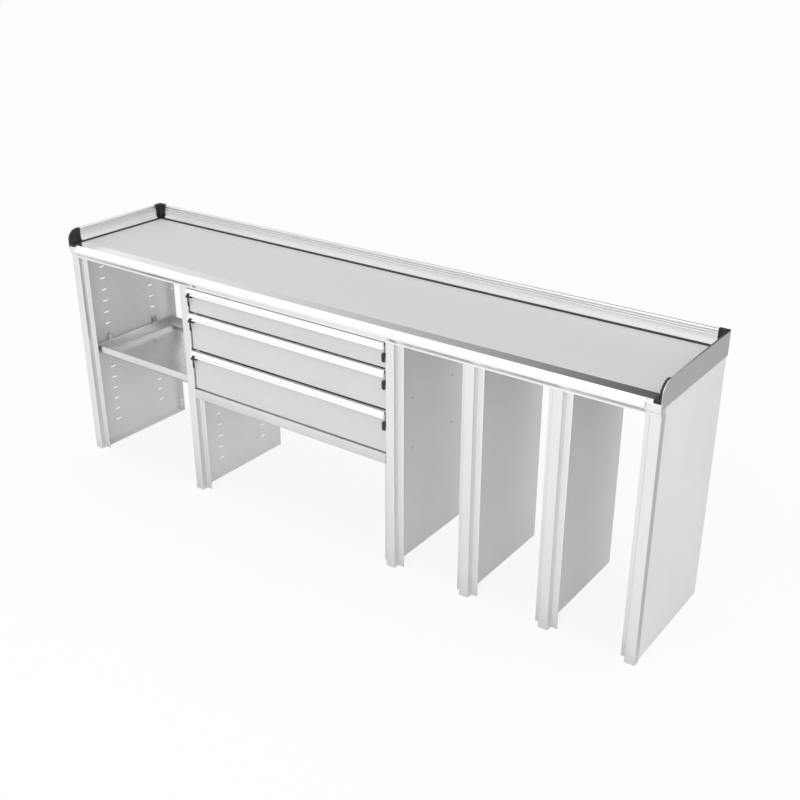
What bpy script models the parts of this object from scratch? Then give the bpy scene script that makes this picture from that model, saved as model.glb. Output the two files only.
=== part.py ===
"""Long workbench of aluminium posts and sheet side panels, with a framed top, a tray shelf and three drawers.

Frame: +X runs along the bench to the right, the front faces -Y, +Z is up, and the floor is z = 0.
The origin is the middle of the footprint. Lengths are metres.
"""

import math

import bmesh
import bpy
from mathutils import Vector

# ---------------------------------------------------------------- driving dimensions

GAP = 0.0003                      # clearance between pieces that touch

POST_WIDTH = 0.037                # front face of an upright
POST_DEPTH = 0.028
POST_WALL = 0.0025
POST_FLANGE = 0.0225              # fin that stands out sideways at the back of an upright
POST_TOP = 0.867
POST_CORNER = 0.004
POST_FILLET = 0.005

SHELF_BAY = 0.579                 # clear widths between the posts, left to right
DRAWER_BAY = 0.926
NARROW_BAY = 0.275
BAYS = (SHELF_BAY, DRAWER_BAY, NARROW_BAY, NARROW_BAY, NARROW_BAY)

LENGTH = 6 * POST_WIDTH + sum(BAYS)
NOSE = 0.0210                     # how far the front edge profile stands out past the posts
PANEL_DEPTH = 0.492               # from the posts' front face to the back of the side panels
DEPTH = NOSE + PANEL_DEPTH
FACE = -DEPTH / 2 + NOSE          # y of the posts' front face
BACK = FACE + PANEL_DEPTH         # y of the panels' and the lip's back face

SHEET = 0.002                     # side panel sheet
PANEL_FLANGE = 0.033
PANEL_INSET = 0.004               # end panels sit this far in from the end faces
GROOVE_GAP = 0.0005               # play of the sheet in the post's groove
GROOVE_RIB = 0.002
GROOVE_DEPTH = 0.014

SLOT_LENGTH = 0.025
SLOT_HEIGHT = 0.005
SLOT_PITCH = 0.050
SLOT_ROWS = 15
SLOT_FIRST = 0.0865               # height of the lowest row
SLOT_COLUMNS = (0.1347, 0.3850)   # behind the posts' front face

BOARD_TOP = 0.920
BOARD_REBATE = 0.0005             # the board is this much lower under the gasket and the lips
BOARD_UNDER = 0.8960
LIP_UNDER = 0.893
LIP_TOP = 0.976
LIP_THICK = 0.010
LIP_TOE = 0.016                   # how far in the lip's sloping foot reaches over the board
GASKET_INNER = 0.029              # the gasket's inner edge, in from the outer face
LIP_WALL = 0.002
CORNER_ARM = 0.036                # how far a back corner piece runs along each lip
CORNER_THICK = 0.0125
CORNER_TOP = 0.980
EDGE_INSET = 0.044                # board's front edge behind the posts' front face
EDGE_END = 0.050                  # front edge profile stops this far in from the bench's ends
CAP_DEPTH = 0.048                 # front end of a side lip behind the posts' front face
CAP_FOOT = 0.0265                 # how far in the end cap's foot reaches from the end face
CAP_FOOT_UNDER = 0.9100
PLATE = 0.0022                    # top plate of the front profile beyond its nose

SHELF_FLOOR = 0.418
SHELF_RIM = 0.466
SHELF_LIP_TOP = 0.476
SHELF_LIP_UNDER = 0.449
SHELF_SHEET = 0.0015
SHELF_LIP_FRONT = 0.037           # these four are behind the posts' front face
SHELF_FRONT = 0.042
SHELF_HEEL = 0.075                # the tray's front slopes up from here
SHELF_BACK = 0.484
SHELF_SIDE_GAP = 0.009            # from a side panel to the tray's side

FRONT_GAP = 0.0035                # between a drawer front's end and the post
DRAWER_TOPS = (0.8635, 0.7640, 0.6115)
DRAWER_BOTTOMS = (0.7700, 0.6190, 0.4545)
BOX_SIDE = 0.4275                 # half the outer width of a drawer box
BOX_FRONT = 0.0128
BOX_BACK = 0.455
BOX_SHEET = 0.0015
CATCH_FOOT = 0.0700               # the catches' lower ends below the drawer front's top

FRAME_INNER = 0.4410              # inner face of the drawer frame's side plates, from mid bay
FRAME_SHEET = 0.0015
SLIDE_FRONT = 0.032
SLIDE_LENGTH = 0.430
RAIL_UNDER = 0.412
RAIL_TOP = 0.4500

# ---------------------------------------------------------------- where things stand


def post_left_edges():
    """Left edge of each upright's front face, left to right."""
    edges = [-LENGTH / 2]
    for bay in BAYS:
        edges.append(edges[-1] + POST_WIDTH + bay)
    return edges


POSTS = post_left_edges()
DRAWER_MIDDLE = POSTS[1] + POST_WIDTH + DRAWER_BAY / 2
SHELF_HANGER_Z = SLOT_FIRST + 8 * SLOT_PITCH


def panel_middle(index):
    """X of the middle of a side panel's sheet: central in a middle post, near the outside in an end post."""
    if index == 0:
        return POSTS[0] + PANEL_INSET + SHEET / 2
    if index == 5:
        return POSTS[5] + POST_WIDTH - PANEL_INSET - SHEET / 2
    return POSTS[index] + POST_WIDTH / 2


# ---------------------------------------------------------------- making solids


def clear_scene():
    for item in list(bpy.data.objects):
        bpy.data.objects.remove(item, do_unlink=True)


def material(name, colour, roughness, metallic):
    """One Principled material for each finish."""
    found = bpy.data.materials.get(name)
    if found:
        return found
    made = bpy.data.materials.new(name)
    made.use_nodes = True
    shader = made.node_tree.nodes["Principled BSDF"]
    shader.inputs["Base Color"].default_value = (*colour, 1.0)
    shader.inputs["Roughness"].default_value = roughness
    shader.inputs["Metallic"].default_value = metallic
    made.diffuse_color = (*colour, 1.0)
    return made


def aluminium():
    return material("anodised_aluminium", (0.78, 0.78, 0.78), 0.35, 1.0)


def coated_sheet():
    return material("coated_sheet", (0.70, 0.70, 0.70), 0.45, 0.0)


def zinc_sheet():
    return material("zinc_sheet", (0.55, 0.56, 0.56), 0.30, 1.0)


def black_plastic():
    return material("black_plastic", (0.012, 0.012, 0.012), 0.50, 0.0)


def grey_plastic():
    return material("grey_plastic", (0.80, 0.80, 0.80), 0.45, 0.0)


def laminate():
    return material("laminate", (0.66, 0.66, 0.66), 0.50, 0.0)


def bright_steel():
    return material("bright_steel", (0.70, 0.70, 0.70), 0.20, 1.0)


def black_rubber():
    return material("black_rubber", (0.01, 0.01, 0.01), 0.75, 0.0)


def finish_mesh(name, bm, finish):
    """Turns a bmesh into a named object with flat faces outside and one material."""
    bmesh.ops.recalc_face_normals(bm, faces=bm.faces)
    mesh = bpy.data.meshes.new(name)
    bm.to_mesh(mesh)
    bm.free()
    mesh.materials.append(finish)
    made = bpy.data.objects.new(name, mesh)
    bpy.context.scene.collection.objects.link(made)
    return made


def prism(name, outline, axis, low, high, finish, hole=None):
    """Extrudes an outline, and a hole through it, along an axis.

    The outline's points are (y, z) along X, (x, z) along Y and (x, y) along Z.
    """
    places = {
        "X": lambda a, b: Vector((low, a, b)),
        "Y": lambda a, b: Vector((a, low, b)),
        "Z": lambda a, b: Vector((a, b, low)),
    }
    shift = {"X": Vector((1, 0, 0)), "Y": Vector((0, 1, 0)), "Z": Vector((0, 0, 1))}[axis] * (high - low)
    bm = bmesh.new()
    edges = []
    for ring in [outline] + ([hole] if hole else []):
        verts = [bm.verts.new(places[axis](*point)) for point in ring]
        edges += [bm.edges.new((verts[i - 1], verts[i])) for i in range(len(verts))]
    bmesh.ops.triangle_fill(bm, use_beauty=True, use_dissolve=False, edges=edges)
    extruded = bmesh.ops.extrude_face_region(bm, geom=list(bm.faces), use_keep_orig=True)
    moved = [item for item in extruded["geom"] if isinstance(item, bmesh.types.BMVert)]
    bmesh.ops.translate(bm, vec=shift, verts=moved)
    return finish_mesh(name, bm, finish)


def box(name, low, high, finish):
    """A rectangular block between two corners."""
    (x0, y0, z0), (x1, y1, z1) = low, high
    return prism(name, [(x0, y0), (x1, y0), (x1, y1), (x0, y1)], "Z", z0, z1, finish)


def rod(name, centre, axis, radius, low, high, finish, sides=12):
    """A round bar along an axis; the centre gives its other two coordinates."""
    ring = [
        (
            centre[0] + radius * math.cos(2 * math.pi * (i + 0.5) / sides),
            centre[1] + radius * math.sin(2 * math.pi * (i + 0.5) / sides),
        )
        for i in range(sides)
    ]
    return prism(name, ring, axis, low, high, finish)


def rounded(points, radii, steps=4):
    """A path with its corners turned into arcs; a radius of 0 keeps the corner. The ends stay."""
    path = []
    for i, point in enumerate(points):
        here = Vector(point)
        radius = radii[i]
        if not radius:
            path.append(here)
            continue
        before = (Vector(points[i - 1]) - here).normalized()
        after = (Vector(points[(i + 1) % len(points)]) - here).normalized()
        half = before.angle(after) / 2
        reach = radius / math.tan(half)
        middle = here + (before + after).normalized() * radius / math.sin(half)
        start = here + before * reach - middle
        turn = start.angle_signed(here + after * reach - middle)
        for step in range(steps + 1):
            angle = -turn * step / steps
            path.append(middle + Vector((
                start.x * math.cos(angle) - start.y * math.sin(angle),
                start.x * math.sin(angle) + start.y * math.cos(angle),
            )))
    return [(point.x, point.y) for point in path]


def strip(path, thickness):
    """The closed outline of a bent strip: the path is one side, the other lies to its right."""
    points = [Vector(point) for point in path]
    sides = []
    for i, here in enumerate(points):
        normals = []
        if i > 0:
            along = (here - points[i - 1]).normalized()
            normals.append(Vector((along.y, -along.x)))
        if i < len(points) - 1:
            along = (points[i + 1] - here).normalized()
            normals.append(Vector((along.y, -along.x)))
        mitre = sum(normals, Vector((0, 0))).normalized()
        sides.append(here + mitre * thickness / mitre.dot(normals[0]))
    return [(p.x, p.y) for p in points] + [(p.x, p.y) for p in reversed(sides)]


def mirrored(outline):
    """The outline turned over left to right."""
    return [(-a, b) for a, b in reversed(outline)]


def shifted(outline, da, db):
    return [(a + da, b + db) for a, b in outline]


def joined(target, *others, operation="UNION"):
    """Joins solids to the target, or cuts them out of it, and takes the tools away."""
    for other in others:
        modifier = target.modifiers.new("join", "BOOLEAN")
        modifier.operation = operation
        modifier.object = other
        modifier.solver = "EXACT"
        graph = bpy.context.evaluated_depsgraph_get()
        result = bpy.data.meshes.new_from_object(target.evaluated_get(graph))
        target.modifiers.clear()
        old = target.data
        target.data = result
        result.name = target.name
        bpy.data.meshes.remove(old)
        bpy.data.objects.remove(other, do_unlink=True)
    return target


def cut(target, *cutters):
    return joined(target, *cutters, operation="DIFFERENCE")


def grouped(name, pieces):
    """Several cutters made one object, so that one Boolean takes them all."""
    first = pieces[0]
    bm = bmesh.new()
    for piece in pieces:
        bm.from_mesh(piece.data)
    bm.to_mesh(first.data)
    bm.free()
    for piece in pieces[1:]:
        bpy.data.objects.remove(piece, do_unlink=True)
    first.name = name
    first.data.name = name
    return first


def smooth(item, degrees=30):
    """Shades round faces smooth and keeps the corners sharp."""
    item.data.shade_smooth()
    item.data.set_sharp_from_angle(angle=math.radians(degrees))
    return item


# ---------------------------------------------------------------- uprights


def post_outline(groove, left_fin, right_fin):
    """Plan of a hat-shaped upright with a groove for the side panel, from its left front corner."""
    width, depth, wall, fin = POST_WIDTH, POST_DEPTH, POST_WALL, POST_FLANGE
    inner = depth - wall
    points, radii = [], []

    def add(x, y, radius=0.0):
        points.append((x, y))
        radii.append(radius)

    if left_fin:
        add(-fin, depth)
        add(-fin, inner)
        add(0, inner, POST_FILLET)
    else:
        add(0, depth)
    add(0, 0, POST_CORNER)
    add(width, 0, POST_CORNER)
    if right_fin:
        add(width, inner, POST_FILLET)
        add(width + fin, inner)
        add(width + fin, depth)
    else:
        add(width, depth)
    add(width - wall, depth)
    add(width - wall, wall)
    half = SHEET / 2 + GROOVE_GAP
    for low, high in ((groove + half, groove + half + GROOVE_RIB), (groove - half - GROOVE_RIB, groove - half)):
        if low > wall and high < width - wall:
            for x, y in ((high, wall), (high, GROOVE_DEPTH), (low, GROOVE_DEPTH), (low, wall)):
                add(x, y)
    add(wall, wall)
    add(wall, depth)
    return rounded(points, radii)


def make_posts():
    for index, left in enumerate(POSTS):
        outline = post_outline(panel_middle(index) - left, index > 0, index < 5)
        post = prism(
            f"upright_{index + 1}", shifted(outline, left, FACE), "Z", 0.0, POST_TOP - GAP, aluminium()
        )
        smooth(post)


# ---------------------------------------------------------------- side panels


def slot_cutters(middle):
    """Rows of short level slots in two columns."""
    tools = []
    for column in SLOT_COLUMNS:
        for row in range(SLOT_ROWS):
            z = SLOT_FIRST + row * SLOT_PITCH
            y = FACE + column
            tools.append(box(
                "slot",
                (middle - SHEET, y - SLOT_LENGTH / 2, z - SLOT_HEIGHT / 2),
                (middle + SHEET, y + SLOT_LENGTH / 2, z + SLOT_HEIGHT / 2),
                coated_sheet(),
            ))
    return grouped("slots", tools)


def make_side_panel(index):
    """A sheet with a back flange and a floor flange bent to one side, both with fixing holes."""
    middle = panel_middle(index)
    turn = 1 if index == 0 else -1
    front = FACE + POST_WALL + GROOVE_GAP
    top = LIP_UNDER - GROOVE_GAP
    step = FACE + (POST_DEPTH + 0.0005 if index in (0, 5) else EDGE_INSET + 0.022)
    crown = top if index in (0, 5) else BOARD_UNDER - GAP
    rear = BACK - 0.052
    outline = [
        (front, 0.0), (BACK, 0.0), (BACK, top), (rear, top), (rear, crown),
        (step, crown), (step, POST_TOP - GAP), (front, POST_TOP - GAP),
    ]
    if crown == top:
        outline = [point for point in outline if point[0] != rear]
    sheet = prism(f"side_panel_{index + 1}", outline, "X", middle - SHEET / 2, middle + SHEET / 2, coated_sheet())
    inner, outer = sorted((middle, middle + turn * (PANEL_FLANGE + SHEET / 2)))
    back_flange = box("flange", (inner, BACK - SHEET, 0.0), (outer, BACK, top), coated_sheet())
    floor_flange = box("flange", (inner, FACE + 0.050, 0.0), (outer, BACK - SHEET / 2, SHEET), coated_sheet())
    joined(sheet, floor_flange, back_flange)
    hole_x = middle + turn * 0.019
    holes = [
        rod("hole", (hole_x, z), "Y", 0.0045, BACK - 0.01, BACK + 0.01, coated_sheet(), 10)
        for z in (0.026, 0.046, 0.594)
    ]
    holes += [
        rod("hole", (hole_x, FACE + y), "Z", 0.0045, -0.01, 0.01, coated_sheet(), 10)
        for y in (0.085, 0.204, 0.332, 0.465)
    ]
    if index < 2:
        holes.append(slot_cutters(middle))
    cut(sheet, grouped("holes", holes))


# ---------------------------------------------------------------- worktop


def lip_section():
    """Section of the raised edge: (distance in from the outer face, height), and its hollow."""
    thick, wall, toe = LIP_THICK, LIP_WALL, LIP_TOE
    under = BOARD_TOP + GAP
    outline = [(0, LIP_UNDER), (0, LIP_TOP - 0.001), (0.001, LIP_TOP), (0.0065, LIP_TOP), (thick, LIP_TOP - 0.004)]
    for groove in (LIP_TOP - 0.009, LIP_TOP - 0.017):
        outline += [
            (thick, groove), (thick - 0.0015, groove - 0.0010),
            (thick - 0.0015, groove - 0.0030), (thick, groove - 0.0040),
        ]
    outline += [
        (thick, 0.9320), (toe, 0.9222), (toe, under), (wall, under),
        (wall, BOARD_UNDER - GAP), (0.030, BOARD_UNDER - GAP), (0.030, LIP_UNDER),
    ]
    hollow = [
        (wall, under + wall), (wall, LIP_TOP - wall), (0.0056, LIP_TOP - wall), (thick - 0.0035, LIP_TOP - 0.005),
        (thick - 0.0035, 0.9310), (toe - 0.0060, under + wall),
    ]
    return outline, hollow


def make_side_lip(name, side):
    """End lip: a hollow aluminium section whose outer wall runs forward in a quarter round."""
    outline, hollow = lip_section()
    end = side * LENGTH / 2

    def place(points):
        return [(end - side * t, z) for t, z in points]

    lip = prism(
        name, place(outline), "Y", FACE + CAP_DEPTH, BACK - CORNER_ARM - GAP, aluminium(), place(hollow)
    )
    front = FACE - 0.0085
    cheek = rounded(
        [(front, LIP_UNDER), (front, LIP_TOP), (BACK, LIP_TOP), (BACK, LIP_UNDER)], (0.010, 0.043, 0.0, 0.0), 8
    )
    low, high = sorted((end, end - side * LIP_WALL))
    return joined(lip, prism("cheek", cheek, "X", low, high, aluminium()))


def make_back_lip():
    outline, hollow = lip_section()
    reach = LENGTH / 2 - CORNER_ARM - GAP

    def place(points):
        return [(BACK - t, z) for t, z in points]

    lip = prism("edge_lip_back", place(outline), "X", -reach, reach, aluminium(), place(hollow))
    end = LENGTH / 2 - LIP_WALL - GAP
    wall = box("wall", (-end, BACK - LIP_WALL, LIP_UNDER), (end, BACK, LIP_TOP - 0.001), aluminium())
    return joined(lip, wall)


def front_profile_outline():
    """Nose-shaped section of the front edge: (behind the posts' face, height)."""
    corners = [
        (0.0, POST_TOP), (0.0, POST_TOP + 0.005), (-NOSE, POST_TOP + 0.026),
        (-NOSE, 0.9005), (-0.0045, BOARD_TOP), (EDGE_INSET, BOARD_TOP), (EDGE_INSET, POST_TOP),
    ]
    return rounded(corners, (0.0, 0.0, 0.002, 0.004, 0.0025, 0.0, 0.0), 4)


def make_front_profile():
    """Hollow aluminium nosing with a ledge that carries the board's front edge; its nose is plugged."""
    wall = 0.0025
    outline = front_profile_outline()
    ledge = [
        (EDGE_INSET, BOARD_UNDER - GAP), (EDGE_INSET + 0.020, BOARD_UNDER - GAP),
        (EDGE_INSET + 0.020, LIP_UNDER), (EDGE_INSET, LIP_UNDER),
    ]
    outline = outline[:-1] + ledge + outline[-1:]
    hollow = [
        (wall, POST_TOP + wall), (wall, POST_TOP + 0.006), (-NOSE + 0.0038, 0.9004),
        (-0.0035, BOARD_TOP - wall), (EDGE_INSET - wall, BOARD_TOP - wall), (EDGE_INSET - wall, POST_TOP + wall),
    ]
    reach = LENGTH / 2 - EDGE_END
    bar = prism(
        "front_edge_profile", shifted(outline, FACE, 0), "X", -reach, reach, aluminium(), shifted(hollow, FACE, 0)
    )
    plug = [
        (0.0040, POST_TOP + 0.001), (0.0004, POST_TOP + 0.0055), (-NOSE + 0.0006, POST_TOP + 0.0262),
        (-NOSE + 0.0006, 0.9004), (-0.0050, BOARD_TOP - 0.001), (0.0040, BOARD_TOP - 0.001),
    ]
    plates = []
    for side in (-1, 1):
        low, high = sorted((side * (reach - PLATE), side * reach))
        plates.append(prism("plug", shifted(plug, FACE, 0), "X", low, high, aluminium()))
        low, high = sorted((side * (reach - 0.001), side * (LENGTH / 2 - CAP_FOOT)))
        plates.append(box(
            "plate", (low, FACE - 0.0030, BOARD_TOP - PLATE), (high, FACE + EDGE_INSET, BOARD_TOP), aluminium()
        ))
    return smooth(joined(bar, *plates))


def make_profile_end(name, side):
    """End block that closes the front profile and fills out to the end face, below the profile's top plate."""
    reach, crown = LENGTH / 2, BOARD_TOP - PLATE - 0.0005
    outline = rounded(
        [
            (0.0, POST_TOP), (0.0, 0.8760), (-0.0060, 0.8830), (-0.0060, 0.9080), (0.0020, crown),
            (POST_DEPTH, crown), (POST_DEPTH, POST_TOP),
        ],
        (0.0, 0.0020, 0.0040, 0.0060, 0.0020, 0.0, 0.0), 3,
    )
    low, high = sorted((side * (reach - EDGE_END + GAP), side * (reach - LIP_WALL - GAP)))
    block = prism(name, shifted(outline, FACE, 0), "X", low, high, aluminium())
    low, high = sorted((side * (reach - CAP_FOOT - GAP), side * (reach + 0.01)))
    notch = box("notch", (low, FACE - 0.05, CAP_FOOT_UNDER - GAP), (high, FACE + 0.10, BOARD_TOP + 0.05), aluminium())
    return smooth(cut(block, notch))


def make_lip_end_cap(name, side):
    """Black moulded cap: a quarter round that closes the side lip, on a foot over the end block."""
    reach = LENGTH / 2
    front = FACE - 0.0080
    back = FACE + CAP_DEPTH - GAP
    cheek = rounded(
        [(front, BOARD_TOP + GAP), (front, LIP_TOP - 0.0005), (back, LIP_TOP - 0.0005), (back, BOARD_TOP + GAP)],
        (0.0, 0.0425, 0.004, 0.0), 8,
    )
    low, high = sorted((side * (reach - LIP_WALL - GAP), side * (reach - LIP_THICK - 0.0005)))
    cap = prism(name, cheek, "X", low, high, black_plastic())
    low, high = sorted((side * (reach - LIP_WALL - GAP), side * (reach - CAP_FOOT)))
    foot = prism(
        "foot",
        rounded(
            [(front, CAP_FOOT_UNDER), (front, BOARD_TOP + 0.0015), (FACE + EDGE_INSET - GAP, BOARD_TOP + 0.0015),
             (FACE + EDGE_INSET - GAP, CAP_FOOT_UNDER)],
            (0.0, 0.003, 0.0, 0.0), 3,
        ),
        "X", low, high, black_plastic(),
    )
    ledge = box(
        "ledge",
        (min(side * (reach - 0.0030), side * (reach - 0.0150)), FACE + 0.004, 0.9460),
        (max(side * (reach - 0.0030), side * (reach - 0.0150)), FACE + 0.040, 0.9490),
        black_plastic(),
    )
    return smooth(joined(cap, foot, ledge))


def make_corner_cap(name, side):
    """Black moulded corner inside the lips' outer walls, with a roof over them."""
    reach, arm, inner, chamfer = LENGTH / 2, CORNER_ARM, CORNER_THICK, 0.006

    def plan(outer, radius):
        corner = [
            (reach - outer, BACK - arm), (reach - outer, BACK - outer), (reach - arm, BACK - outer),
            (reach - arm, BACK - inner), (reach - inner - chamfer, BACK - inner),
            (reach - inner, BACK - inner - chamfer), (reach - inner, BACK - arm),
        ]
        outline = rounded(corner, (0.0, radius, 0.0, 0.0, 0.0, 0.0, 0.0), 4)
        return outline if side > 0 else mirrored(outline)

    body = prism(name, plan(LIP_WALL + GAP, 0.0), "Z", BOARD_TOP + GAP, CORNER_TOP - 0.001, black_plastic())
    roof = prism("roof", plan(0.0, 0.003), "Z", LIP_TOP + GAP, CORNER_TOP, black_plastic())
    return smooth(joined(body, roof))


def make_worktop():
    board_side = LENGTH / 2 - LIP_WALL - 0.001
    back = BACK - LIP_WALL - 0.0045
    front = FACE + EDGE_INSET
    board = box(
        "worktop_board", (-board_side, front + GAP, BOARD_UNDER), (board_side, back, BOARD_TOP), laminate()
    )
    side, inner = LENGTH / 2, GASKET_INNER + GAP
    floor, sky = BOARD_TOP - BOARD_REBATE, BOARD_TOP + 0.01
    cut(
        board,
        box("rebate", (-side, front - 0.01, floor), (-side + inner, BACK, sky), laminate()),
        box("rebate", (side - inner, front - 0.01, floor), (side, BACK, sky), laminate()),
        box("rebate", (-side, BACK - inner, floor), (side, BACK, sky), laminate()),
    )
    outer, inner, front = LIP_TOE + GAP, GASKET_INNER, front + 0.002
    outline = [
        (-side + outer, front), (-side + outer, BACK - outer), (side - outer, BACK - outer), (side - outer, front),
        (side - inner, front), (side - inner, BACK - inner), (-side + inner, BACK - inner), (-side + inner, front),
    ]
    prism("worktop_gasket", outline, "Z", floor + GAP, BOARD_TOP + 0.003, black_rubber())
    make_front_profile()
    make_back_lip()
    for word, side in (("left", -1), ("right", 1)):
        make_side_lip(f"edge_lip_{word}", side)
        make_profile_end(f"front_profile_end_{word}", side)
        make_lip_end_cap(f"lip_end_cap_{word}", side)
        make_corner_cap(f"corner_cap_{word}", side)


# ---------------------------------------------------------------- tray shelf


def tray(name, outline, low, high, wall, finish):
    """An open-topped box of even wall: the outline is its section along X, from the front rim round to the back."""
    inner = strip(outline, -wall)[len(outline):][::-1]
    (front, rim), (back, _) = inner[0], inner[-1]
    shell = prism(name, outline, "X", low, high, finish)
    open_top = [(front, rim + 0.01)] + inner + [(back, rim + 0.01)]
    return cut(shell, prism("inside", open_top, "X", low + wall, high - wall, finish))


def make_shelf():
    left = panel_middle(0) + SHEET / 2 + SHELF_SIDE_GAP
    right = panel_middle(1) - SHEET / 2 - SHELF_SIDE_GAP
    slope_top = SHELF_LIP_UNDER - 0.003
    outline = [
        (SHELF_FRONT, SHELF_RIM), (SHELF_FRONT, slope_top), (SHELF_HEEL, SHELF_FLOOR),
        (SHELF_BACK, SHELF_FLOOR), (SHELF_BACK, SHELF_RIM),
    ]
    tray("shelf_tray", shifted(outline, FACE, 0), left, right, SHELF_SHEET, zinc_sheet())
    front, back = SHELF_LIP_FRONT, SHELF_FRONT + SHELF_SHEET + GAP + 0.0015
    lip = rounded(
        [(front, SHELF_LIP_UNDER), (front, SHELF_LIP_TOP), (back, SHELF_LIP_TOP), (back, SHELF_RIM - 0.006)],
        (0.0, 0.0025, 0.0025, 0.0), 3,
    )
    side = SHELF_SHEET + GAP
    smooth(prism("shelf_front_lip", strip(shifted(lip, FACE, 0), 0.0015), "X", left + side, right - side, aluminium()))
    for word, side, panel, wall in (("left", -1, panel_middle(0), left), ("right", 1, panel_middle(1), right)):
        for place, column in zip(("front", "rear"), SLOT_COLUMNS):
            shelf_hanger(f"shelf_hanger_{word}_{place}", side, panel, wall, FACE + column)


def shelf_hanger(name, side, panel, wall, y):
    """Bent hanger: a tongue behind the slot, a bar through it and a leg down the tray's side, with two studs."""
    z, thick = SHELF_HANGER_Z, 0.0030
    behind = panel + side * (SHEET / 2 + GAP)
    leg = wall + side * GAP
    path = [
        (behind + side * thick, z - 0.0085), (behind + side * thick, z + thick / 2),
        (leg, z + thick / 2), (leg, SHELF_FLOOR + 0.006),
    ]
    outline = strip(path, -side * thick)
    hanger = prism(name, outline, "Y", y - 0.011, y + 0.011, bright_steel())
    middle = (panel - side * SHEET / 2 + wall) / 2
    studs = [rod("stud", (middle, y + dy), "Z", 0.0040, z, z + 0.0085, bright_steel()) for dy in (-0.006, 0.006)]
    return smooth(joined(hanger, *studs))


# ---------------------------------------------------------------- drawer frame


def make_drawer_frame():
    """Two channel-shaped side plates that carry the slides, and a front rail between the posts."""
    outer = DRAWER_BAY / 2 + POST_WIDTH / 2 - SHEET / 2 - GAP
    inner = FRAME_INNER
    low, high = RAIL_UNDER + 0.003, POST_TOP - 0.003
    path = [(outer, low + 0.040), (outer, low), (inner, low), (inner, high), (outer, high), (outer, high - 0.030)]
    section = strip(path, FRAME_SHEET)
    for word, outline in (("left", mirrored(section)), ("right", section)):
        prism(
            f"drawer_frame_{word}", shifted(outline, DRAWER_MIDDLE, 0), "Y",
            FACE + POST_DEPTH + GAP, FACE + SLIDE_FRONT + SLIDE_LENGTH + 0.008, coated_sheet(),
        )
    reach = DRAWER_BAY / 2 - GAP
    rail = rounded(
        [(FACE + 0.0220, RAIL_UNDER), (FACE, RAIL_UNDER), (FACE, RAIL_TOP), (FACE + 0.0220, RAIL_TOP)],
        (0.0, 0.0030, 0.0030, 0.0), 3,
    )
    smooth(prism(
        "drawer_front_rail", strip(rail, 0.0015), "X", DRAWER_MIDDLE - reach, DRAWER_MIDDLE + reach, aluminium()
    ))


# ---------------------------------------------------------------- drawers


def handle_section(top):
    """Section of the drawer's grip profile: (behind the posts' face, height)."""
    crown = [(0.0120, top)]
    for y in (0.0070, 0.0020):
        crown += [(y + 0.0030, top), (y + 0.0030, top - 0.0030), (y, top - 0.0030), (y, top)]
    return crown + [
        (-0.0010, top), (-0.0080, top - 0.0175), (-0.0076, top - 0.0181), (-0.0082, top - 0.0187),
        (-0.0100, top - 0.0225), (-0.0085, top - 0.0245), (-0.0065, top - 0.0225), (0.0000, top - 0.0065),
        (0.0020, top - 0.0060), (0.0020, top - 0.0240), (0.0085, top - 0.0650), (0.0085, top - 0.0700),
        (0.0105, top - 0.0700), (0.0105, top - 0.0648), (0.0040, top - 0.0238), (0.0040, top - 0.0050),
        (0.0120, top - 0.0050),
    ]


def catch_left(number, top):
    """Black end piece of the grip: a head at the grip's end and a thin tongue down the front's edge."""
    left = DRAWER_MIDDLE - DRAWER_BAY / 2 + FRONT_GAP
    head = [
        (0.0012, -0.0345), (0.0120, -0.0325), (0.0320, -0.0300), (0.0320, -0.0270), (0.0210, -0.0235),
        (0.0190, -0.0150), (0.0080, -0.0150), (0.0070, -0.0230), (0.0012, -0.0250),
    ]
    back = FACE + 0.0020 - GAP
    catch = prism(
        f"drawer_{number}_catch_left", shifted(head, left, top), "Y", FACE - 0.0105, back, black_plastic()
    )
    tongue = box(
        "tongue", (left + 0.0012, FACE - 0.0030, top - CATCH_FOOT), (left + 0.0040, back, top - 0.0300), black_plastic()
    )
    return joined(catch, tongue)


def catch_right(number, top):
    """Black upright catch plate, round at its inner side, under the grip's right end."""
    right = DRAWER_MIDDLE + DRAWER_BAY / 2
    low, high, inner, outer = top - CATCH_FOOT, top - 0.0360, right - 0.0125, right - 0.0007
    outline = rounded(
        [(inner, low), (outer, low), (outer, high), (inner, high)], (0.0065, 0.0015, 0.0015, 0.0065), 4
    )
    return smooth(prism(
        f"drawer_{number}_catch_right", outline, "Y", FACE - 0.0030, FACE + 0.0020 - GAP, black_plastic()
    ))


def slide_member(name, side, z, section):
    """One channel of a slide: the section's points are (in from the frame plate, up from the slide's middle)."""
    outline = [(DRAWER_MIDDLE + side * (FRAME_INNER - GAP - u), z + v) for u, v in section]
    start = FACE + SLIDE_FRONT
    return prism(name, outline, "Y", start, start + SLIDE_LENGTH, bright_steel())


def channel(web, lip, half, thick):
    """Section of a slide's channel: its web, how far its two flanges reach, and half its height."""
    path = [(lip, -half), (web, -half), (web, half), (lip, half)]
    return strip(path, thick if lip > web else -thick)


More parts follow.
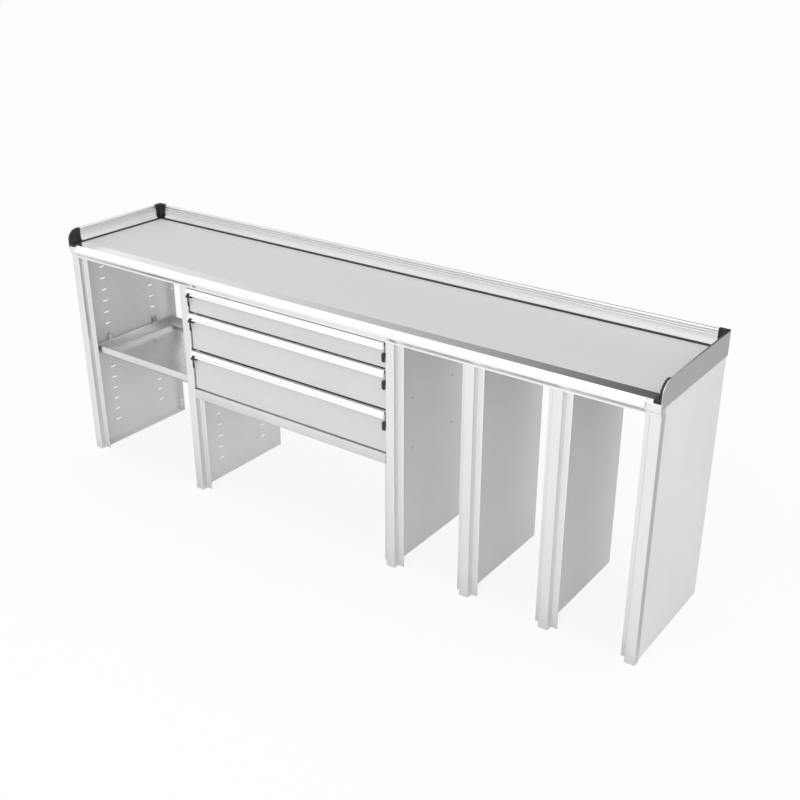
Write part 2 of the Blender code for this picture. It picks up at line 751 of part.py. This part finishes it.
def make_drawer(number):
    top, bottom = DRAWER_TOPS[number - 1], DRAWER_BOTTOMS[number - 1]
    reach = DRAWER_BAY / 2 - FRONT_GAP
    left, right = DRAWER_MIDDLE - reach, DRAWER_MIDDLE + reach
    grip = prism(f"drawer_{number}_grip", shifted(handle_section(top), FACE, 0), "X", left, right, aluminium())
    seat = [
        (-0.0100, -0.0380), (0.0122, -0.0331), (0.0326, -0.0305), (0.0326, -0.0266), (0.0214, -0.0231),
        (0.0194, -0.0146), (0.0076, -0.0146), (0.0067, -0.0226), (-0.0100, -0.0246),
    ]
    cut(grip, prism("seat", shifted(seat, left, top), "Y", FACE - 0.02, FACE + 0.0020, aluminium()))
    panel = strip(
        [(FACE + 0.0235, bottom), (FACE + 0.0090, bottom), (FACE + 0.0090, top - 0.0700 - GAP)], 0.0015
    )
    prism(f"drawer_{number}_front", panel, "X", left, right, coated_sheet())
    catch_left(number, top)
    catch_right(number, top)
    floor, rim = bottom + 0.0075, top - 0.0140
    front, back = FACE + BOX_FRONT, FACE + BOX_BACK
    walls = [(front, rim), (front, floor), (back, floor), (back, rim)]
    body = tray(
        f"drawer_{number}_box", walls, DRAWER_MIDDLE - BOX_SIDE, DRAWER_MIDDLE + BOX_SIDE, BOX_SHEET, coated_sheet()
    )
    slide_z = floor + 0.0300
    box_face = FRAME_INNER - GAP - BOX_SIDE
    for word, side in (("left", -1), ("right", 1)):
        slide_member(f"drawer_{number}_slide_outer_{word}", side, slide_z, channel(0.0, 0.0100, 0.0175, 0.0015))
        slide_member(f"drawer_{number}_slide_middle_{word}", side, slide_z, channel(0.0022, 0.0115, 0.0152, 0.0013))
        joined(body, slide_member("runner", side, slide_z, channel(box_face + 0.0006, 0.0045, 0.0130, 0.0013)))


# ---------------------------------------------------------------- the bench


def build():
    clear_scene()
    make_posts()
    for index in range(len(POSTS)):
        make_side_panel(index)
    make_worktop()
    make_shelf()
    make_drawer_frame()
    for number in (1, 2, 3):
        make_drawer(number)


build()
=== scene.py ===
import math

import bpy
from mathutils import Matrix, Vector


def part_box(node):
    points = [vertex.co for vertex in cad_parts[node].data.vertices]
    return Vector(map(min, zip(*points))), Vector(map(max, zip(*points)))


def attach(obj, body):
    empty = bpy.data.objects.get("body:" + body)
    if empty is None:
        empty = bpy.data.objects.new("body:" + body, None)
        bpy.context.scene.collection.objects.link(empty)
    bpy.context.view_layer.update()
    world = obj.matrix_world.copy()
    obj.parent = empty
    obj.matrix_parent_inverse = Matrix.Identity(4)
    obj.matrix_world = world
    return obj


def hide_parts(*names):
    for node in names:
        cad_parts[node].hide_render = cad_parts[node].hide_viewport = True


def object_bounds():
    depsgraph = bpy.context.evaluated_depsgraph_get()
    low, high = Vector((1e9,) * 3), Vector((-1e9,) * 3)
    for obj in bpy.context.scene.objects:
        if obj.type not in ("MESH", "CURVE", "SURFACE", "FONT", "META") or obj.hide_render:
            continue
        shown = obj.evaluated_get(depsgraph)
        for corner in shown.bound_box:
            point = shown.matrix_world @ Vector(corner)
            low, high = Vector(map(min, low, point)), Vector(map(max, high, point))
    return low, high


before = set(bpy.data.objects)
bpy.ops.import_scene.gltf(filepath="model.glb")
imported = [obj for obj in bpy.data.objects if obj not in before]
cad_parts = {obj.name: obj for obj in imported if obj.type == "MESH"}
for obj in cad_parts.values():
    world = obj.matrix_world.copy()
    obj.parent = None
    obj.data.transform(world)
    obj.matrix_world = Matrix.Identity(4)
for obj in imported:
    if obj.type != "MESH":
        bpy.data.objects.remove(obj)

cad_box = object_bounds()

# ---------------------------------------------------------------- uprights
# Six hat-shaped posts of anodised aluminium, pressed through a die and sawn to length. A groove down
# the middle of each takes the edge of a side panel, and thin fins stand out at their back corners.


def linear(hex_colour):
    """An sRGB hex colour as the linear RGBA that sockets take."""
    channels = [int(hex_colour[i:i + 2], 16) / 255 for i in (1, 3, 5)]
    return [c / 12.92 if c <= 0.04045 else ((c + 0.055) / 1.055) ** 2.4 for c in channels] + [1.0]


def add_node(tree, kind, links=None, **settings):
    """Adds a node, sets its properties and input values by name, and links its inputs to other outputs."""
    node = tree.nodes.new(kind)
    for name, value in settings.items():
        if hasattr(node, name):
            setattr(node, name, value)
        else:
            node.inputs[name.replace("_", " ")].default_value = value
    for socket, source in (links or {}).items():
        tree.links.new(source, node.inputs[socket])
    return node


def start_material(name):
    """A material with an empty node tree."""
    made = bpy.data.materials.new(name)
    made.use_nodes = True
    made.node_tree.nodes.clear()
    return made, made.node_tree


def finish_material(tree, colour, rough, height, bump, metallic):
    """Ends a tree in its shader: colour, roughness and height come from nodes, the rest are plain numbers."""
    relief = add_node(tree, "ShaderNodeBump", {"Height": height}, Strength=bump, Distance=0.0005)
    links = {"Base Color": colour, "Roughness": rough, "Normal": relief.outputs[0]}
    shader = add_node(tree, "ShaderNodeBsdfPrincipled", links, Metallic=metallic)
    add_node(tree, "ShaderNodeOutputMaterial", {"Surface": shader.outputs[0]})


def spread(tree, source, low, high):
    """Maps the middle of a noise on to a range."""
    return add_node(
        tree, "ShaderNodeMapRange", {"Value": source}, From_Min=0.3, From_Max=0.7, To_Min=low, To_Max=high
    ).outputs[0]


def blended(tree, factor, first, second):
    """A mix of two colours; each is a hex colour or another node's output."""
    node = add_node(tree, "ShaderNodeMix", {0: factor}, data_type="RGBA")
    for socket, colour in ((6, first), (7, second)):
        if isinstance(colour, str):
            node.inputs[socket].default_value = linear(colour)
        else:
            tree.links.new(colour, node.inputs[socket])
    return node.outputs[2]


def noise_at(tree, scale, detail=3.0):
    """A noise with its own number of cycles per metre along each axis."""
    place = add_node(tree, "ShaderNodeTexCoord").outputs["Object"]
    stretched = add_node(tree, "ShaderNodeMapping", {"Vector": place}, Scale=scale).outputs[0]
    return add_node(tree, "ShaderNodeTexNoise", {"Vector": stretched}, Scale=1.0, Detail=detail).outputs[0]


def worn_edges(tree):
    """Where an edge has been rubbed: along its rounding, in uneven patches some 30 mm long."""
    rounding = add_node(tree, "ShaderNodeAttribute", attribute_name="rounding").outputs["Fac"]
    patches = spread(tree, noise_at(tree, (30, 30, 30)), 0.25, 1.0)
    return add_node(tree, "ShaderNodeMath", {0: rounding, 1: patches}, operation="MULTIPLY").outputs[0]


def drawn_aluminium(name, dark, light, bright, rough, along, bump=0.10):
    """Extruded and anodised: fine die lines run along the bar, drawn 1.2 mm apart so that they can show, over
    slow cloudy changes of gloss; its rounded edges are rubbed brighter."""
    made, tree = start_material(name)
    scale = [820, 820, 820]
    scale["XYZ".index(along)] = 3
    lines = noise_at(tree, scale)
    clouds = noise_at(tree, (4, 4, 4))
    both = add_node(tree, "ShaderNodeMath", {0: lines, 1: clouds}, operation="ADD").outputs[0]
    half = add_node(tree, "ShaderNodeMath", {0: both}, operation="MULTIPLY")
    half.inputs[1].default_value = 0.5
    body = blended(tree, spread(tree, half.outputs[0], 0.0, 1.0), dark, light)
    colour = blended(tree, worn_edges(tree), body, bright)
    finish_material(tree, colour, spread(tree, half.outputs[0], rough - 0.03, rough + 0.03), lines, bump, 1.0)
    return made


def softened(node, finish, body, radius=0.0004, along="XYZ"):
    """Stands in for a CAD node with a merged copy whose sharp edges are rounded, and marks the rounding.
    Only edges that run along the given axes and have room on both sides are rounded."""
    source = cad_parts[node]
    piece = bpy.data.objects.new(f"{node}_finished", source.data.copy())
    bpy.context.collection.objects.link(piece)
    bpy.ops.object.select_all(action="DESELECT")
    piece.select_set(True)
    bpy.context.view_layer.objects.active = piece
    piece.data.materials.clear()
    piece.data.materials.append(finish)
    piece.data.materials.append(finish)
    bpy.ops.object.mode_set(mode="EDIT")
    bpy.ops.mesh.select_mode(type="VERT")
    bpy.ops.mesh.select_all(action="SELECT")
    bpy.ops.mesh.remove_doubles(threshold=0.00001)
    bpy.ops.mesh.dissolve_limited(angle_limit=math.radians(0.3))
    bpy.ops.mesh.select_all(action="DESELECT")
    bpy.ops.mesh.select_mode(type="EDGE")
    bpy.ops.mesh.edges_select_sharp(sharpness=math.radians(40))
    bpy.ops.object.mode_set(mode="OBJECT")
    mesh = piece.data
    room = {tuple(sorted(key)): [] for key in mesh.edge_keys}
    for face in mesh.polygons:
        corners = [mesh.vertices[v].co for v in face.vertices]
        for key in face.edge_keys:
            start, end = (mesh.vertices[v].co for v in key)
            line = (end - start).normalized()
            widest = max(((c - start) - line * (c - start).dot(line)).length for c in corners)
            room[tuple(sorted(key))].append(widest)
    for edge in mesh.edges:
        start, end = (mesh.vertices[v].co for v in edge.vertices)
        line = end - start
        axis = max(range(3), key=lambda i: abs(line[i]))
        straight = abs(line[axis]) > 0.999 * line.length and "XYZ"[axis] in along
        wide = min(room[tuple(sorted(edge.vertices))]) > 2.5 * radius and line.length > 4 * radius
        edge.select = edge.select and straight and wide
    bpy.ops.object.mode_set(mode="EDIT")
    bpy.ops.mesh.bevel(offset=radius, segments=2, affect="EDGES", clamp_overlap=True, material=1)
    bpy.ops.mesh.select_all(action="DESELECT")
    bpy.ops.object.mode_set(mode="OBJECT")
    marks = [float(face.material_index) for face in mesh.polygons]
    mesh.materials.pop(index=1)
    mesh.attributes.new("rounding", "FLOAT", "FACE").data.foreach_set("value", marks)
    bpy.ops.object.select_all(action="DESELECT")
    piece.select_set(True)
    bpy.ops.object.shade_smooth_by_angle(angle=math.radians(25))
    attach(piece, body)
    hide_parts(node)
    return piece


post_aluminium = drawn_aluminium("natural_anodised_aluminium", "#EAEAEB", "#F1F1F2", "#FCFCFC", 0.32, "Z")
for number in range(1, 7):
    softened(f"upright_{number}", post_aluminium, "bench", 0.0004, "Z")

# ---------------------------------------------------------------- side panels
# Sheets of folded steel behind the posts, stoved in a pale satin paint, with punched slots for shelves on
# the two at the left. A back flange takes wall screws and a floor flange takes floor bolts.


def painted_sheet(name, dark, light, bright, rough, metallic=0.0):
    """Powder paint on sheet steel: satin, with the soft 2 mm dimples of orange peel, slow changes of gloss
    and thin paint, almost bare metal, on the folded and cut edges."""
    made, tree = start_material(name)
    peel = noise_at(tree, (480, 480, 480), 2.0)
    clouds = noise_at(tree, (3, 3, 3), 2.0)
    body = blended(tree, spread(tree, clouds, 0.0, 1.0), dark, light)
    colour = blended(tree, worn_edges(tree), body, bright)
    finish_material(tree, colour, spread(tree, clouds, rough + 0.02, rough - 0.02), peel, 0.12, metallic)
    return made


panel_paint = painted_sheet("satin_powder_painted_steel", "#EBE9EA", "#EFEDEE", "#F8F8F8", 0.38, 0.12)
for number in range(1, 7):
    softened(f"side_panel_{number}", panel_paint, "bench", 0.0003, "YZ")

# ---------------------------------------------------------------- fixing screws
# Zinc-plated pan head screws with a socket: they hold the drawer unit's frames to the panels at both
# sides of it, and are pressed from wire, so their heads are rounded and bright.


def plated_steel(name, dark, light, rough):
    """Bright zinc on steel: a cold silver with faint cloudiness and a slight drawn grain."""
    made, tree = start_material(name)
    clouds = noise_at(tree, (60, 60, 60))
    grain = noise_at(tree, (900, 900, 900))
    body = blended(tree, spread(tree, clouds, 0.0, 1.0), dark, light)
    colour = blended(tree, worn_edges(tree), body, "#F2F3F4")
    finish_material(tree, colour, spread(tree, grain, rough - 0.06, rough + 0.06), grain, 0.06, 1.0)
    return made


def screw(name, radius, height, place, facing, body):
    """A pan head: a disc drawn in over its top, with a round socket sunk into it."""
    crown, rim, sunk = height * 0.45, radius * 0.30, height * 0.6
    bpy.ops.object.select_all(action="DESELECT")
    bpy.ops.mesh.primitive_cylinder_add(vertices=24, radius=radius, depth=height, location=(0, 0, height / 2))
    piece = bpy.context.object
    piece.name = name
    bpy.ops.object.mode_set(mode="EDIT")
    bpy.ops.mesh.select_mode(type="FACE")
    bpy.ops.mesh.select_all(action="DESELECT")
    bpy.ops.object.mode_set(mode="OBJECT")
    for face in piece.data.polygons:
        face.select = face.normal.z > 0.9
    bpy.ops.object.mode_set(mode="EDIT")
    bpy.ops.mesh.bevel(offset=crown, segments=3, affect="EDGES", clamp_overlap=True)
    bpy.ops.mesh.select_all(action="DESELECT")
    bpy.ops.object.mode_set(mode="OBJECT")
    top = max(corner.co.z for corner in piece.data.vertices)
    for face in piece.data.polygons:
        face.select = face.normal.z > 0.99 and face.center.z > top - 0.00005
    bpy.ops.object.mode_set(mode="EDIT")
    bpy.ops.mesh.inset(thickness=rim)
    bpy.ops.mesh.extrude_region_move(TRANSFORM_OT_translate={"value": (0, 0, -sunk)})
    bpy.ops.mesh.select_all(action="DESELECT")
    bpy.ops.object.mode_set(mode="OBJECT")
    turn = Vector(facing).to_track_quat("Z", "Y").to_matrix().to_4x4()
    piece.data.transform(Matrix.Translation(place) @ turn)
    piece.location = (0, 0, 0)
    piece.data.materials.append(zinc)
    bpy.ops.object.shade_smooth_by_angle(angle=math.radians(35))
    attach(piece, body)
    return piece


zinc = plated_steel("bright_zinc_plated_steel", "#C3C6C8", "#DCDEDF", 0.24)
PANEL_SHEET = 0.002
FRAME_SCREW = 0.0042, 0.0024
SCREW_ROWS = -0.1035, 0.1445
SCREW_LEVELS = 0.429, 0.620, 0.810
for number, face_side in ((2, -1), (3, 1)):
    low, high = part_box(f"side_panel_{number}")
    sheet_x = high.x if face_side > 0 else high.x - PANEL_SHEET
    for row, y in enumerate(SCREW_ROWS, 1):
        for level, z in enumerate(SCREW_LEVELS, 1):
            name = f"frame_screw_{number}_{row}_{level}"
            screw(name, *FRAME_SCREW, (sheet_x, y, z), (face_side, 0, 0), "bench")

# ---------------------------------------------------------------- front edge profile
# One bar of bright anodised aluminium clips round the board's front edge. Its nose slopes forwards at
# 45 degrees and its flat top is polished. A cast block closes each end.

edge_aluminium = drawn_aluminium(
    "bright_anodised_aluminium", "#F4F4F4", "#FAFAFA", "#FFFFFF", 0.15, "X", 0.05
)
block_aluminium = drawn_aluminium(
    "cast_anodised_aluminium", "#EEEEEE", "#F4F4F4", "#FAFAFA", 0.40, "X", 0.02
)
softened("front_edge_profile", edge_aluminium, "bench", 0.0005, "X")
for hand in ("left", "right"):
    softened(f"front_profile_end_{hand}", block_aluminium, "bench", 0.0006, "XY")

# ---------------------------------------------------------------- worktop board and gasket
# A 24 mm chipboard faced on both sides with pale grey melamine, pressed with a very fine pearl texture,
# and sealed to the lips by a black rubber strip.


def faced_board():
    """Melamine laminate: even pale grey, nearly matt, with a pearl grain drawn 1.5 mm wide so that it can
    show, rub marks along the work's direction, and slow patches a little duller where it's used most."""
    made, tree = start_material("pale_grey_melamine_laminate")
    pearl = noise_at(tree, (650, 650, 650), 2.0)
    rubs = noise_at(tree, (2, 60, 60), 3.0)
    patches = noise_at(tree, (2, 2, 2), 1.0)
    body = blended(tree, spread(tree, pearl, 0.0, 1.0), "#D2D2D2", "#D5D5D5")
    rubbed = blended(tree, spread(tree, rubs, 0.0, 0.12), body, "#C8C8C8")
    colour = blended(tree, worn_edges(tree), rubbed, "#E2E2E2")
    finish_material(tree, colour, spread(tree, patches, 0.48, 0.53), pearl, 0.05, 0.0)
    return made


def black_polymer(name, body, light, rough, grain):
    """A dyed black polymer: a fine leathery grain, softly shining high spots and greyer rubbed edges."""
    made, tree = start_material(name)
    skin = noise_at(tree, (grain, grain, grain), 2.0)
    dust = noise_at(tree, (40, 40, 40))
    dusted = blended(tree, spread(tree, dust, 0.0, 1.0), body, light)
    colour = blended(tree, worn_edges(tree), dusted, "#4A4A4A")
    finish_material(tree, colour, spread(tree, skin, rough - 0.06, rough + 0.06), skin, 0.15, 0.0)
    return made


rubber = black_polymer("extruded_black_rubber", "#101010", "#181818", 0.62, 900)
softened("worktop_board", faced_board(), "bench", 0.0004, "XY")
softened("worktop_gasket", rubber, "bench", 0.0008, "XY")

# ---------------------------------------------------------------- edge lips
# Hollow aluminium extrusions stand round three sides of the board. Each slopes in at its foot, has two
# fine grooves inside near its top, and a thin outer wall that hides the board's edge.

lip_colours = "#DCDCDD", "#E4E4E5", "#F6F6F6"
side_lip_aluminium = drawn_aluminium("anodised_aluminium_side_lip", *lip_colours, 0.30, "Y")
back_lip_aluminium = drawn_aluminium("anodised_aluminium_back_lip", *lip_colours, 0.30, "X")
softened("edge_lip_left", side_lip_aluminium, "bench", 0.0004, "Y")
softened("edge_lip_right", side_lip_aluminium, "bench", 0.0004, "Y")
softened("edge_lip_back", back_lip_aluminium, "bench", 0.0004, "X")

# ---------------------------------------------------------------- lip caps
# Moulded black nylon closes the front ends of the side lips and the two back corners. A small bright
# screw holds each corner cap, and a flatter one the end of each side lip.

nylon = black_polymer("moulded_black_nylon", "#141414", "#1D1D1D", 0.40, 700)
for hand in ("left", "right"):
    softened(f"lip_end_cap_{hand}", nylon, "bench", 0.0006, "XYZ")
    softened(f"corner_cap_{hand}", nylon, "bench", 0.0006, "XYZ")
CAP_SCREW = 0.0026, 0.0010
CAP_ARM_DEPTH = 0.0125
CAP_SCREW_IN = 0.010
CHEEK_SCREW = 0.0020, 0.0008
CHEEK_SUNK = 0.0008
CHEEK_SCREW_BACK = 0.0235
LIP_SCREW_LEVEL = 0.945
for hand, side in (("left", -1), ("right", 1)):
    low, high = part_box(f"corner_cap_{hand}")
    arm_x = low.x + CAP_SCREW_IN if side > 0 else high.x - CAP_SCREW_IN
    place = (arm_x, high.y - CAP_ARM_DEPTH, LIP_SCREW_LEVEL)
    screw(f"corner_cap_screw_{hand}", *CAP_SCREW, place, (0, -1, 0), "bench")
    low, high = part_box(f"edge_lip_{hand}")
    wall_x = high.x - CHEEK_SUNK if side > 0 else low.x + CHEEK_SUNK
    place = (wall_x, low.y + CHEEK_SCREW_BACK, LIP_SCREW_LEVEL)
    screw(f"lip_cheek_screw_{hand}", *CHEEK_SCREW, place, (side, 0, 0), "bench")

# ---------------------------------------------------------------- shelf
# A tray folded from mill finish aluminium sheet, which mirrors the panels beside it, with an extruded
# lip along its front. Bright steel hangers hook it into the panels' slots.


def mill_sheet():
    """Rolled aluminium sheet, not anodised: it mirrors softly and is streaked along the rolling direction."""
    made, tree = start_material("mill_finish_aluminium_sheet")
    streaks = noise_at(tree, (5, 300, 300), 4.0)
    clouds = noise_at(tree, (12, 12, 12), 3.0)
    body = blended(tree, spread(tree, clouds, 0.0, 1.0), "#D8D9D9", "#DEDFDF")
    colour = blended(tree, worn_edges(tree), body, "#F2F2F2")
    finish_material(tree, colour, spread(tree, streaks, 0.23, 0.28), streaks, 0.015, 1.0)
    return made


lip_aluminium = drawn_aluminium("anodised_aluminium_shelf_lip", "#DADADB", "#EBEBEC", "#FAFAFA", 0.32, "X")
softened("shelf_tray", mill_sheet(), "bench", 0.0003, "XYZ")
softened("shelf_front_lip", lip_aluminium, "bench", 0.0004, "X")
chrome = plated_steel("polished_nickel_plated_steel", "#D6D8D9", "#EEEFF0", 0.12)


def button(name, radius, height, place):
    """A domed button: half a ball, flattened, closed underneath."""
    bpy.ops.object.select_all(action="DESELECT")
    bpy.ops.mesh.primitive_uv_sphere_add(segments=24, ring_count=16, radius=radius, location=(0, 0, 0))
    piece = bpy.context.object
    piece.name = name
    bpy.ops.object.mode_set(mode="EDIT")
    bpy.ops.mesh.select_all(action="SELECT")
    bpy.ops.mesh.bisect(plane_co=(0, 0, 0), plane_no=(0, 0, 1), use_fill=True, clear_inner=True)
    bpy.ops.mesh.select_all(action="SELECT")
    bpy.ops.transform.resize(value=(1, 1, height / radius), center_override=(0, 0, 0))
    bpy.ops.object.mode_set(mode="OBJECT")
    piece.data.transform(Matrix.Translation(place))
    piece.data.materials.append(chrome)
    bpy.ops.object.shade_smooth_by_angle(angle=math.radians(35))
    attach(piece, "bench")


STUD = 0.0060, 0.0045
STUD_FROM_PANEL = 0.0098
STUD_HALF_PITCH = 0.006
for hand in ("left", "right"):
    for end in ("front", "rear"):
        softened(f"shelf_hanger_{hand}_{end}", zinc, "bench", 0.0004, "XYZ")
        low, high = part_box(f"shelf_hanger_{hand}_{end}")
        stud_x = low.x + STUD_FROM_PANEL if hand == "left" else high.x - STUD_FROM_PANEL
        middle_y = ((low + high) / 2).y
        for step, stud_y in (("a", middle_y - STUD_HALF_PITCH), ("b", middle_y + STUD_HALF_PITCH)):
            button(f"shelf_stud_{hand}_{end}_{step}", *STUD, (stud_x, stud_y, high.z))
SHELF_SCREW = 0.0030, 0.0014
SHELF_SCREW_LEVEL = 0.447
SHELF_SCREWS_FROM_FRONT = 0.090, 0.300
TRAY_SHEET = 0.0016
low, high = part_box("shelf_tray")
for row, from_front in enumerate(SHELF_SCREWS_FROM_FRONT, 1):
    place = (low.x + TRAY_SHEET, low.y + from_front, SHELF_SCREW_LEVEL)
    screw(f"shelf_screw_{row}", *SHELF_SCREW, place, (1, 0, 0), "bench")

# ---------------------------------------------------------------- drawer unit frame
# Two folded steel plates screwed to the panels carry the slides, and an aluminium rail along the bottom
# of the unit ties the two posts together.

frame_paint = painted_sheet("satin_powder_painted_frame", "#D8D7D7", "#DCDBDB", "#F0F0F0", 0.38, 0.15)
for hand in ("left", "right"):
    softened(f"drawer_frame_{hand}", frame_paint, "bench", 0.0003, "YZ")
rail_aluminium = drawn_aluminium(
    "natural_anodised_aluminium_rail", "#D8D8D9", "#EAEAEB", "#FAFAFA", 0.34, "X"
)
softened("drawer_front_rail", rail_aluminium, "bench", 0.0004, "X")

# ---------------------------------------------------------------- drawers
# Folded steel boxes with a painted front and an aluminium grip strip along its top. Black nylon catches
# at both ends of the grip keep the drawer shut.

box_paint = painted_sheet("satin_powder_painted_drawer", "#D6D4D5", "#DAD8D9", "#F2F2F2", 0.38, 0.10)
grip_aluminium = drawn_aluminium(
    "bright_anodised_aluminium_grip", "#F2F2F2", "#FAFAFA", "#FFFFFF", 0.24, "X", 0.06
)
# The grip's apron, below its bright strip, is painted with the front.
BRIGHT_STRIP = 0.0232
APRON_STEP = 0.0005
drawer_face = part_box("upright_1")[0].y
for number in range(1, 4):
    body = f"drawer_{number}"
    softened(f"{body}_box", box_paint, body, 0.0003, "XYZ")
    softened(f"{body}_front", box_paint, body, 0.0004, "XYZ")
    grip = softened(f"{body}_grip", grip_aluminium, body, 0.0003, "X")
    grip.data.materials.append(box_paint)
    strip_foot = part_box(f"{body}_grip")[1].z - BRIGHT_STRIP
    for face in grip.data.polygons:
        if face.center.z < strip_foot and face.center.y > drawer_face + APRON_STEP:
            face.material_index = 1
    softened(f"{body}_catch_left", nylon, body, 0.0004, "XYZ")
    softened(f"{body}_catch_right", nylon, body, 0.0004, "XYZ")

# ---------------------------------------------------------------- slides
# Full extension slides of rolled, zinc-plated steel: an outer channel on the frame and a middle one that
# runs half as far as the drawer. The inner one is riveted along the drawer's side.

slide_zinc = plated_steel("rolled_zinc_plated_steel", "#B9BCBE", "#D4D6D7", 0.30)
for number in range(1, 4):
    for hand in ("left", "right"):
        softened(f"drawer_{number}_slide_outer_{hand}", slide_zinc, "bench", 0.0003, "Y")
        softened(f"drawer_{number}_slide_middle_{hand}", slide_zinc, f"drawer_{number}_slides", 0.0003, "Y")

# ---------------------------------------------------------------- studio
# A pale seamless floor under an even white sky, one broad light high in front, and a dark flag behind
# the bench, which bright metal needs to look like metal.

scene = bpy.context.scene
scene.view_settings.view_transform = "Standard"

sky = bpy.data.worlds.new("studio_sky")
scene.world = sky
sky.use_nodes = True
sky.node_tree.nodes.clear()
tree = sky.node_tree
direction = add_node(tree, "ShaderNodeTexCoord").outputs["Generated"]
split = add_node(tree, "ShaderNodeSeparateXYZ", {"Vector": direction})

# The flag hangs behind the bench, between these two angles from +X, and is darkest in its middle.
FLAG_FROM, FLAG_TO = math.radians(40), math.radians(150)
azimuth = add_node(
    tree, "ShaderNodeMath", {0: split.outputs["Y"], 1: split.outputs["X"]}, operation="ARCTAN2"
).outputs[0]
across = add_node(tree, "ShaderNodeMapRange", {"Value": azimuth}, From_Min=FLAG_FROM, From_Max=FLAG_TO)
flag = add_node(tree, "ShaderNodeValToRGB", {0: across.outputs[0]})
ramp = flag.color_ramp
ramp.elements[0].position, ramp.elements[0].color = 0.0, (1, 1, 1, 1)
ramp.elements[1].position, ramp.elements[1].color = 1.0, (1, 1, 1, 1)
for place, level in ((0.30, 0.05), (0.64, 0.05), (0.84, 0.60)):
    ramp.elements.new(place).color = (level, level, level, 1)

# The flag reaches from the floor to 30 degrees up, and fades into the white sky by 49.
band = add_node(tree, "ShaderNodeValToRGB", {0: split.outputs["Z"]})
ramp = band.color_ramp
ramp.elements[0].position, ramp.elements[0].color = 0.0, (1, 1, 1, 1)
ramp.elements[1].position, ramp.elements[1].color = 0.75, (0, 0, 0, 1)
ramp.elements.new(0.50).color = (1, 1, 1, 1)
flagged = blended(tree, band.outputs[0], "#FFFFFF", flag.outputs[0])
rays = add_node(tree, "ShaderNodeLightPath")
mirrored_sky = add_node(tree, "ShaderNodeBackground", {"Color": flagged}, Strength=1.12)
soft_sky = add_node(tree, "ShaderNodeBackground", {"Color": flagged}, Strength=1.0)
plain_sky = add_node(tree, "ShaderNodeBackground", Color=linear("#FFFFFF"), Strength=1.0)
by_gloss = add_node(
    tree, "ShaderNodeMixShader",
    {0: rays.outputs["Is Glossy Ray"], 1: soft_sky.outputs[0], 2: mirrored_sky.outputs[0]}
)
by_eye = add_node(
    tree, "ShaderNodeMixShader",
    {0: rays.outputs["Is Camera Ray"], 1: by_gloss.outputs[0], 2: plain_sky.outputs[0]}
)
add_node(tree, "ShaderNodeOutputWorld", {"Surface": by_eye.outputs[0]})

floor_material, tree = start_material("studio_paper_with_painted_reflections")
fibres = noise_at(tree, (200, 200, 200))
paper_colour = blended(tree, fibres, "#F6F6F6", "#FAFAFA")
paper = add_node(tree, "ShaderNodeBsdfPrincipled", {"Base Color": paper_colour}, Roughness=0.9)
glow = add_node(tree, "ShaderNodeEmission", Color=linear("#FFFFFF"), Strength=1.0)
# A grey glow that only reflections see: a painted reflection, not the paper's own colour.
painted_reflection_grey = add_node(tree, "ShaderNodeEmission", Color=linear("#BEBEBE"), Strength=1.0)
rays = add_node(tree, "ShaderNodeLightPath")

# To the eye the paper is mostly a white glow, so that only the faintest shadows show on it.
GLOW_TO_THE_EYE = 0.85
eye_share = add_node(tree, "ShaderNodeMath", {0: rays.outputs["Is Camera Ray"]}, operation="MULTIPLY")
eye_share.inputs[1].default_value = GLOW_TO_THE_EYE

# Painted reflection: to gloss rays the paper behind and under the bench is a grey glow, which paints darker
# reflections into the metal's undersides and side faces.
GREY_FROM, GREY_TO = -0.35, -0.10
place = add_node(tree, "ShaderNodeTexCoord").outputs["Object"]
spot = add_node(tree, "ShaderNodeSeparateXYZ", {"Vector": place})
behind = add_node(
    tree, "ShaderNodeMapRange", {"Value": spot.outputs["Y"]},
    From_Min=GREY_FROM, From_Max=GREY_TO, To_Min=0.0, To_Max=1.0
)
gloss_share = add_node(
    tree, "ShaderNodeMath", {0: rays.outputs["Is Glossy Ray"], 1: behind.outputs[0]}, operation="MULTIPLY"
)
lit = add_node(
    tree, "ShaderNodeMixShader", {0: eye_share.outputs[0], 1: paper.outputs[0], 2: glow.outputs[0]}
)
shown = add_node(
    tree, "ShaderNodeMixShader", {0: gloss_share.outputs[0], 1: lit.outputs[0], 2: painted_reflection_grey.outputs[0]}
)
add_node(tree, "ShaderNodeOutputMaterial", {"Surface": shown.outputs[0]})

FLOOR_GAP = 0.0005
bpy.ops.mesh.primitive_plane_add(size=60, location=(0, 0, cad_box[0].z - FLOOR_GAP))
floor = bpy.context.object
floor.name = "studio_floor"
floor.data.materials.append(floor_material)


def soft_light(name, place, aim, size, watts):
    """A square soft box that faces a point."""
    bpy.ops.object.light_add(type="AREA", location=place)
    lamp = bpy.context.object
    lamp.name = name
    lamp.data.size = size
    lamp.data.energy = watts
    lamp.rotation_euler = (Vector(aim) - Vector(place)).to_track_quat("-Z", "Y").to_euler()


soft_light("key_box", (0.6, -3.2, 3.6), (0, 0, 0.6), size=3.0, watts=25)

CAMERA_PLACE = Vector((2.3313, -2.9344, 2.2318))
CAMERA_AXES = ((0.80828, 0.58880, -0.00012), (-0.24884, 0.34177, 0.90624), (0.53364, -0.73246, 0.42276))
bpy.ops.object.camera_add()
camera = bpy.context.object
camera.data.lens = 49.85
camera.data.sensor_width = 36
camera.data.clip_end = 100
camera.matrix_world = Matrix.Translation(CAMERA_PLACE) @ Matrix(CAMERA_AXES).transposed().to_4x4()
scene.camera = camera
